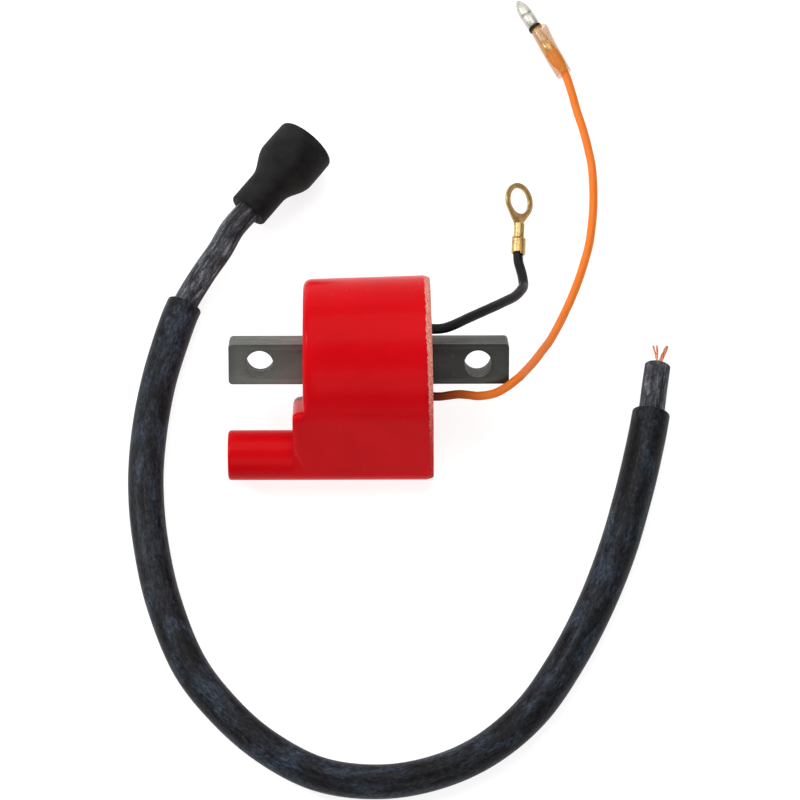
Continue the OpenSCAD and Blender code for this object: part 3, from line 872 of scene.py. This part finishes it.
# outer radius of the sleeve at fractions of its length, and the gap between it and the lead
SLEEVE_SIZE = ((0.0, 5.05), (0.1, 4.95), (0.3, 4.9), (0.45, 4.68), (0.6, 4.66), (0.75, 5.0), (0.88, 5.28),
               (1.0, 5.3))
SLEEVE_GAP, SLEEVE_SIDES = 0.28, 44


def between(table, t):
    """Smoothly interpolated value from a table of (position, value)."""
    for (a, va), (b, vb) in zip(table, table[1:]):
        if t <= b:
            return va + (vb - va) * ease(max(0.0, (t - a) / (b - a)))
    return table[-1][1]


def make_sleeve(rubber):
    path = catmull(LEAD_ROUTE)[SLEEVE_FIRST * SPAN_STEPS:SLEEVE_LAST * SPAN_STEPS + 1]
    marks = lengths(path)
    total = marks[-1]
    path = [p + UP * max(0.0, 1.02 * between(SLEEVE_SIZE, s / total) - p.z) for p, s in zip(path, marks)]
    skin = Skin()

    def outer(s, a):
        lump = 0.012 * noise.noise(Vector((s * 0.06, cos(a) * 0.6, sin(a) * 0.6)))
        ridge = 0.006 * noise.noise(Vector((cos(a) * 2.5, sin(a) * 2.5, s * 0.02)))
        return between(SLEEVE_SIZE, s / total) * (1 + lump + ridge)

    out_rings = sweep(skin, path, outer, SLEEVE_SIDES)
    in_rings = sweep(skin, path, lambda s, a: LEAD_R + SLEEVE_GAP, SLEEVE_SIDES)
    turns = frames(path)
    for end, sign, mark in ((0, -1, 0.0), (-1, 1, total)):
        t = (path[1] - path[0] if end == 0 else path[-1] - path[-2]).normalized()
        side, up = turns[end]
        r_out = outer(mark, 0.0)
        lip = []
        for reach, r in ((0.25, r_out - 0.1), (0.42, r_out - 0.3), (0.48, r_out - 0.55),
                         (0.48, LEAD_R + 0.6), (0.4, LEAD_R + 0.38)):
            spots = circle(SLEEVE_SIDES, r)
            lip.append(skin.ring([path[end] + t * sign * reach + u * side + v * up for u, v in spots],
                                 [Vector((u, v, mark + sign * reach)) for u, v in spots]))
        skin.loft([out_rings[end]] + lip + [in_rings[end]])
    return skin.piece("lead_outer_sleeve", rubber, "coil", ["lead_sleeve"], smooth=50)


STRANDS = 5  # in each of the two bundles


def make_strands(copper):
    """Frayed copper core: a bundle that splits in two tips, and a twisted bundle with a blunt end."""
    skin = Skin()
    root = LEAD_ROUTE[-1]
    t = (LEAD_ROUTE[-1] - LEAD_ROUTE[-2]).normalized()
    side = UP.cross(t).normalized()
    up = t.cross(side)

    def at(across, along, rise):
        return root - side * across + t * along + up * rise

    draw = random.Random(3)
    for k in range(STRANDS):
        lean = -1.95 - 0.2 * k if k < 2 else -1.15 + 0.14 * (k - 2)
        route = [at(0.05 + draw.uniform(-0.15, 0.15), -0.6, 0.3 * sin(k * 1.7)),
                 at(-0.3 - 0.06 * k, 1.6, 0.25 * cos(k * 1.7)), at(lean * 0.6, 4.0, 0.18 * sin(k)),
                 at(lean, 6.5 - 0.3 * (k % 2), 0.1 * k - 0.1)]
        rod(skin, catmull(route, 8), lambda s, a: 0.25 * (1 - 0.5 * max(0, s / 6.6 - 0.6)), 10)
    for k in range(STRANDS):
        route = []
        for i in range(9):
            f = i / 8
            twist = 2 * pi * k / STRANDS + f * 5.0
            wide = 0.36 * (0.45 if i == 8 else 1.0)
            route.append(at(0.1 + 1.75 * f ** 1.1 + wide * cos(twist), -0.5 + 7.3 * f,
                            wide * sin(twist)))
        rod(skin, catmull(route, 5), lambda s, a: 0.24, 10)
    return skin.piece("frayed_strands", copper, "coil", ["core_strands"], smooth=60)


# -------- boot
NECK_R, MOUTH_R, BOOT_L = 5.75, 8.9, 27.2
FLARE_FROM, FLARE_TO = 9.1, 18.1
MOUTH_BORE_R, CHAMBER_R, LEAD_GAP = 6.6, 5.0, 0.12
MOUTH_FLOOR, CHAMBER_TOP, CHAMBER_FLOOR = 17.9, 16.5, 10.8


def make_boot(rubber):
    skin = Skin()
    place = Matrix.Translation(BOOT_NECK) @ Matrix.Rotation(BOOT_ANGLE - pi / 2, 4, "Z")
    profile = [(0, LEAD_R + LEAD_GAP), (0, NECK_R), (FLARE_FROM, NECK_R)]
    for k in range(1, 12):
        swell = (1 - cos(pi * k / 12)) / 2
        profile.append((FLARE_FROM + (FLARE_TO - FLARE_FROM) * k / 12, NECK_R + (MOUTH_R - NECK_R) * swell))
    profile += [(FLARE_TO, MOUTH_R), (22.5, MOUTH_R), (BOOT_L, MOUTH_R - 0.08), (BOOT_L, MOUTH_BORE_R),
                (MOUTH_FLOOR, MOUTH_BORE_R), (CHAMBER_TOP, CHAMBER_R), (CHAMBER_FLOOR, CHAMBER_R),
                (CHAMBER_FLOOR, LEAD_R + LEAD_GAP)]
    last = len(profile)
    radii = {1: 0.7, last - 6: 1.3, last - 5: 0.8, last - 1: 0.2, 0: 0.3}
    lathe(skin, place, rounded(profile, radii), 72, closed=True)
    return skin.piece("plug_boot", rubber, "boot", ["rubber_boot"], smooth=40)


# -------- ring terminal
def extrude_strip(skin, line, thick, y0, y1, edge, slant=None):
    """Bent sheet: a centreline (x, z) thickened and extruded along Y. slant(t) moves the near edge."""
    n = len(line)
    pts = [Vector(p) for p in line]
    sides = []
    for k in range(n):
        t = (pts[min(k + 1, n - 1)] - pts[max(k - 1, 0)]).normalized()
        sides.append(Vector((-t.y, t.x)))
    rings = []
    for y, inset in ((y0, edge), (y0 + edge, 0.0), (y1 - edge, 0.0), (y1, edge)):
        h = thick / 2 - inset
        shape = [p + m * h for p, m in zip(pts, sides)] + [p - m * h for p, m in zip(pts, sides)][::-1]
        ring = []
        for j, p in enumerate(shape):
            k = min(j, 2 * n - 1 - j)
            move = slant(k / (n - 1)) if slant and y < (y0 + y1) / 2 else 0.0
            ring.append(RING_FRAME @ Vector((p.x, y + move, p.y)))
        rings.append(skin.ring(ring))
    skin.loft(rings)
    for ring in (rings[0], rings[-1]):
        for k in range(n - 1):
            skin.face((ring[k], ring[k + 1], ring[2 * n - 2 - k], ring[2 * n - 1 - k]))


NECK_Y, NECK_HALF, ROOT_Y, ROOT_HALF = 8.9, 1.35, 7.6, 1.05
WIRE_CRIMP_T, WIRE_CRIMP_R, WRAP_T, WRAP_R, WRAP_LAP = 0.5, 1.2, 0.52, 1.72, 0.62


def make_ring_terminal(metal):
    skin = Skin()
    # plate: ring and neck
    centre = Vector((0, RING_REACH))
    reach = (centre - Vector((NECK_HALF, NECK_Y))).length
    start = atan2(NECK_Y - RING_REACH, NECK_HALF) + acos(RING_R / reach)
    turns = [heading(start + (pi - 2 * start) * k / 48) for k in range(49)]
    outline = [(centre + n * RING_R, n) for n in turns]
    outline += [(Vector(p), Vector(n).normalized()) for p, n in (
        ((-NECK_HALF, NECK_Y), (-0.9, 0.1)), ((-ROOT_HALF, ROOT_Y), (-1, 0)),
        ((ROOT_HALF, ROOT_Y), (1, 0)), ((NECK_HALF, NECK_Y), (0.9, 0.1)))]
    hole = [(centre + Vector(p) * RING_HOLE_R, -Vector(p)) for p in reversed(circle(56, 1.0))]
    place = lambda u, v, h: RING_FRAME @ Vector((u, v, h))
    plate(skin, [outline, hole], place, PLATE_Z, PLATE_Z + SHEET_T, 0.1)
    # conductor crimp: two wings rolled in to a seam
    curl = [(0.16, 0.45), (0.2, 0.8)]
    barrel = [tuple(heading(radians(84 - 348 * k / 39)) * WIRE_CRIMP_R) for k in range(40)]
    line = curl + barrel + [(-x, z) for x, z in reversed(curl)]
    extrude_strip(skin, line, WIRE_CRIMP_T, 4.5, 8.85, 0.1)
    # insulation crimp: the right wing laps over the left one
    line = []
    for k in range(44):
        f = k / 43
        x, z = heading(radians(118 - 388 * f)) * (WRAP_R + WRAP_LAP * max(0.0, 1 - f * 6.0))
        line.append((x + 0.1, z))
    extrude_strip(skin, line, WRAP_T, 0.0, 4.2, 0.1, slant=lambda t: 0.75 * t - 0.5)
    # web under both crimps
    web = [(Vector((x, y)), Vector((0, 0))) for x, y in ((-0.9, 3.6), (0.9, 3.6), (0.9, 5.2), (-0.9, 5.2))]
    plate(skin, [web], place, -1.75, -1.25, 0.05)
    return skin.piece("ring_lug", metal, "coil", ["ring_terminal"], smooth=35)


# -------- bullet terminal and its sleeve
PIN_END, PIN_NOSE, PIN_R = 27.0, 5.5, 1.96


def make_bullet(metal, crimp_metal, shadow):
    skin = Skin()
    nose = PIN_END - PIN_NOSE
    profile = [(16.9, 0.0), (16.9, 1.45), (17.15, 1.72), (17.7, 1.86), (19.4, 1.94), (20.75, 1.95),
               (20.95, 1.86), (21.1, 1.66), (21.2, 1.66), (21.32, 1.9), (nose, PIN_R)]
    profile += [(nose + PIN_NOSE * k / 18, PIN_R * (1 - (k / 18) ** 2.1) ** 0.72) for k in range(1, 18)]
    profile += [(PIN_END - 0.02, 0.12), (PIN_END, 0.0)]
    lathe(skin, BULLET_FRAME, profile, 56)
    # crimp barrel inside the sleeve, and a ring of painted shade in the gap between it and the pin
    barrel = [(10.5, 0.62), (10.5, 1.4), (10.7, 1.55), (12.9, 1.55), (13.3, 1.4), (16.95, 1.4), (16.95, 0.62)]
    lathe(skin, BULLET_FRAME, rounded(barrel, {1: 0.1}), 40, closed=True)
    skin.material = 1
    gap = [(16.05, 1.3), (16.05, 1.98), (16.95, 2.0), (16.95, 1.3)]
    lathe(skin, BULLET_FRAME, gap, 48, closed=True)
    tip = skin.piece("bullet_pin", [metal, shadow], "coil", ["bullet_terminal"], smooth=40)
    skin = Skin()
    band = [(7.2, 1.28), (7.2, 1.75), (7.5, 1.9), (9.0, 1.93), (10.3, 1.84), (10.7, 1.65), (10.7, 1.28)]
    lathe(skin, BULLET_FRAME, band, 48, closed=True)
    crimp = skin.piece("bullet_crimp_band", crimp_metal, "coil", smooth=40)
    return tip, crimp


SLEEVE_SHAPE = (  # distance along, centre to the right, half width, half height
    (-0.5, -0.35, 2.38, 2.2), (-0.1, -0.35, 2.42, 2.25), (4.0, -0.15, 2.45, 2.28), (7.5, 0.05, 2.5, 2.35),
    (10.5, 0.3, 2.52, 2.4), (13.0, 0.55, 2.6, 2.4), (14.5, 0.75, 2.68, 2.4), (15.3, 0.85, 2.64, 2.35),
    (15.75, 0.88, 2.52, 2.2), (16.0, 0.85, 2.42, 2.1))
SLEEVE_WALL = 0.2


def make_bullet_sleeve(vinyl):
    skin = Skin()
    inner = [(s, c, a - SLEEVE_WALL, b - SLEEVE_WALL) for s, c, a, b in reversed(SLEEVE_SHAPE)]
    inner[0] = (15.8, 0.85, 2.3, 1.95)
    skin.loft([skin.ring([BULLET_FRAME @ Vector((c + a * u, s, b * v)) for u, v in circle(40, 1.0)])
               for s, c, a, b in list(SLEEVE_SHAPE) + inner], closed=True)
    return skin.piece("vinyl_sleeve", vinyl, "clear_sleeve", ["bullet_sleeve"], smooth=60)


# -------- stage
def area_light(name, place, aim, size, power):
    data = bpy.data.lights.new(name, "AREA")
    data.shape, data.size, data.size_y, data.energy = "RECTANGLE", size[0], size[1], power
    light = add_object(name, data)
    light.location = place
    light.rotation_mode = "QUATERNION"
    light.rotation_quaternion = (Vector(aim) - Vector(place)).to_track_quat("-Z", "Y")


# name, place, aim, size and power of each light, in metres and watts
LIGHTS = (("top_softbox", (-0.1, 0.5, 1.2), (0, 0, 0), (1.3, 1.0), 10.3),
          ("back_panel", (0, 1.3, 0.4), (0, 0, 0.02), (1.8, 0.8), 4.5),
          ("left_strip", (-1.0, 0.25, 0.6), (0, 0, 0.02), (0.05, 0.5), 6),
          ("front_fill", (0.1, -1.1, 0.9), (0, 0, 0.02), (1.2, 0.8), 5.7))
FLOOR_GLOW, WORLD_GLOW = 0.78, 0.3
FLOOR_GAP = 0.0003  # metres between the floor and the object


def make_stage():
    look = Look("pale_floor", (0.4, 0.4, 0.4), 0.9, specular=0.0)
    cloud = look.noise(look.place((0.02, 0.02, 0.02)), 1.0)
    look.tint(look.ramp(cloud, (0.3, 0.39), (0.7, 0.41)))
    look.put("Emission Color", (1, 1, 1, 1))
    look.put("Emission Strength", FLOOR_GLOW)
    bm = bmesh.new()
    bmesh.ops.create_grid(bm, x_segments=8, y_segments=8, size=3.0)
    mesh = bpy.data.meshes.new("floor")
    bm.to_mesh(mesh)
    bm.free()
    mesh.materials.append(look.mat)
    floor = add_object("floor", mesh)
    floor.location.z = -FLOOR_GAP
    world = bpy.data.worlds.new("studio")
    world.use_nodes = True
    color, strength = world.node_tree.nodes["Background"].inputs[:2]
    color.default_value, strength.default_value = (1, 1, 1, 1), WORLD_GLOW
    SCENE.world = world
    for light in LIGHTS:
        area_light(*light)
    SCENE.view_settings.view_transform = "Standard"


# -------- the object
make_camera()
RED, RESIN, STEEL = red_casing(), sanded_resin(), core_steel()
BLACK_WIRE = wire_vinyl("black_vinyl", (0.007, 0.0065, 0.0075), (0.012, 0.0115, 0.013))
# the orange wire gets painted shade near its root
ORANGE_WIRE = wire_vinyl("orange_vinyl", (0.76, 0.17, 0.018), (0.82, 0.2, 0.024), root_shade=(0.1, 0.006, 0.001))
LEAD, SLEEVE, BOOT = lead_rubber(), sleeve_rubber(), boot_rubber()
BRASS = sheet_metal("terminal_brass", (0.56, 0.4, 0.17), (0.42, 0.29, 0.12), 0.38)
NICKEL = sheet_metal("tinned_metal", (0.6, 0.575, 0.51), (0.48, 0.46, 0.4), 0.42, 0.85)
GOLD_BAND = sheet_metal("crimp_brass", (0.78, 0.6, 0.3), (0.6, 0.42, 0.18), 0.25)
COPPER = sheet_metal("bare_copper", (0.7, 0.3, 0.17), (0.5, 0.18, 0.09), 0.38)
VINYL = clear_vinyl()
PAPER = plain_fibre("wrap_paper", (0.5, 0.38, 0.22), (0.68, 0.55, 0.36), 0.85)
BOBBIN = plain_fibre("bobbin_plastic", (0.7, 0.66, 0.56), (0.82, 0.78, 0.68), 0.5)
WINDING = plain_fibre("wound_copper", (0.4, 0.14, 0.07), (0.66, 0.28, 0.15), 0.35, (14, 1, 1), metallic=0.9)

KEPT_NODES = {
    "potting_resin": RESIN, "core_wrap": PAPER, "primary_bobbin": BOBBIN, "primary_winding": WINDING,
    "interlayer_tape": PAPER, "secondary_bobbin": BOBBIN, "secondary_winding": WINDING, "outer_wrap": PAPER,
    "ht_contact": BRASS, "ht_leadout": COPPER, "ground_splice": NICKEL, "primary_splice": NICKEL,
    "ground_conductor": COPPER, "primary_conductor": COPPER, "plug_clip": BRASS}
for node, look in KEPT_NODES.items():
    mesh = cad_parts[node].data
    mesh.materials.clear()
    mesh.materials.append(look)

ground_cord, ground_path = make_wire(
    "ground_lead_wire", GROUND_ROUTE, GROUND_R, BLACK_WIRE, "ground_wire")
primary_cord, primary_path = make_wire(
    "primary_lead_wire", PRIMARY_ROUTE, PRIMARY_R, ORANGE_WIRE, "primary_wire", (7.3, 1.95))
lead_cord, lead_path = make_lead(LEAD)
sleeve = make_sleeve(SLEEVE)
strands = make_strands(COPPER)
boot = make_boot(BOOT)
lug = make_ring_terminal(BRASS)
bullet, bullet_band = make_bullet(NICKEL, GOLD_BAND, BLACK_WIRE)
bullet_cover = make_bullet_sleeve(VINYL)
make_casing(RED)
make_bar(STEEL)


def declare(cord, path, exit_at):
    lengths(path)[-1] * MM
    [p * MM for p in path]


declare(ground_cord, ground_path, GROUND_OUT)
declare(primary_cord, primary_path, PRIMARY_OUT)
declare(lead_cord, lead_path, on_boot(0))

make_stage()
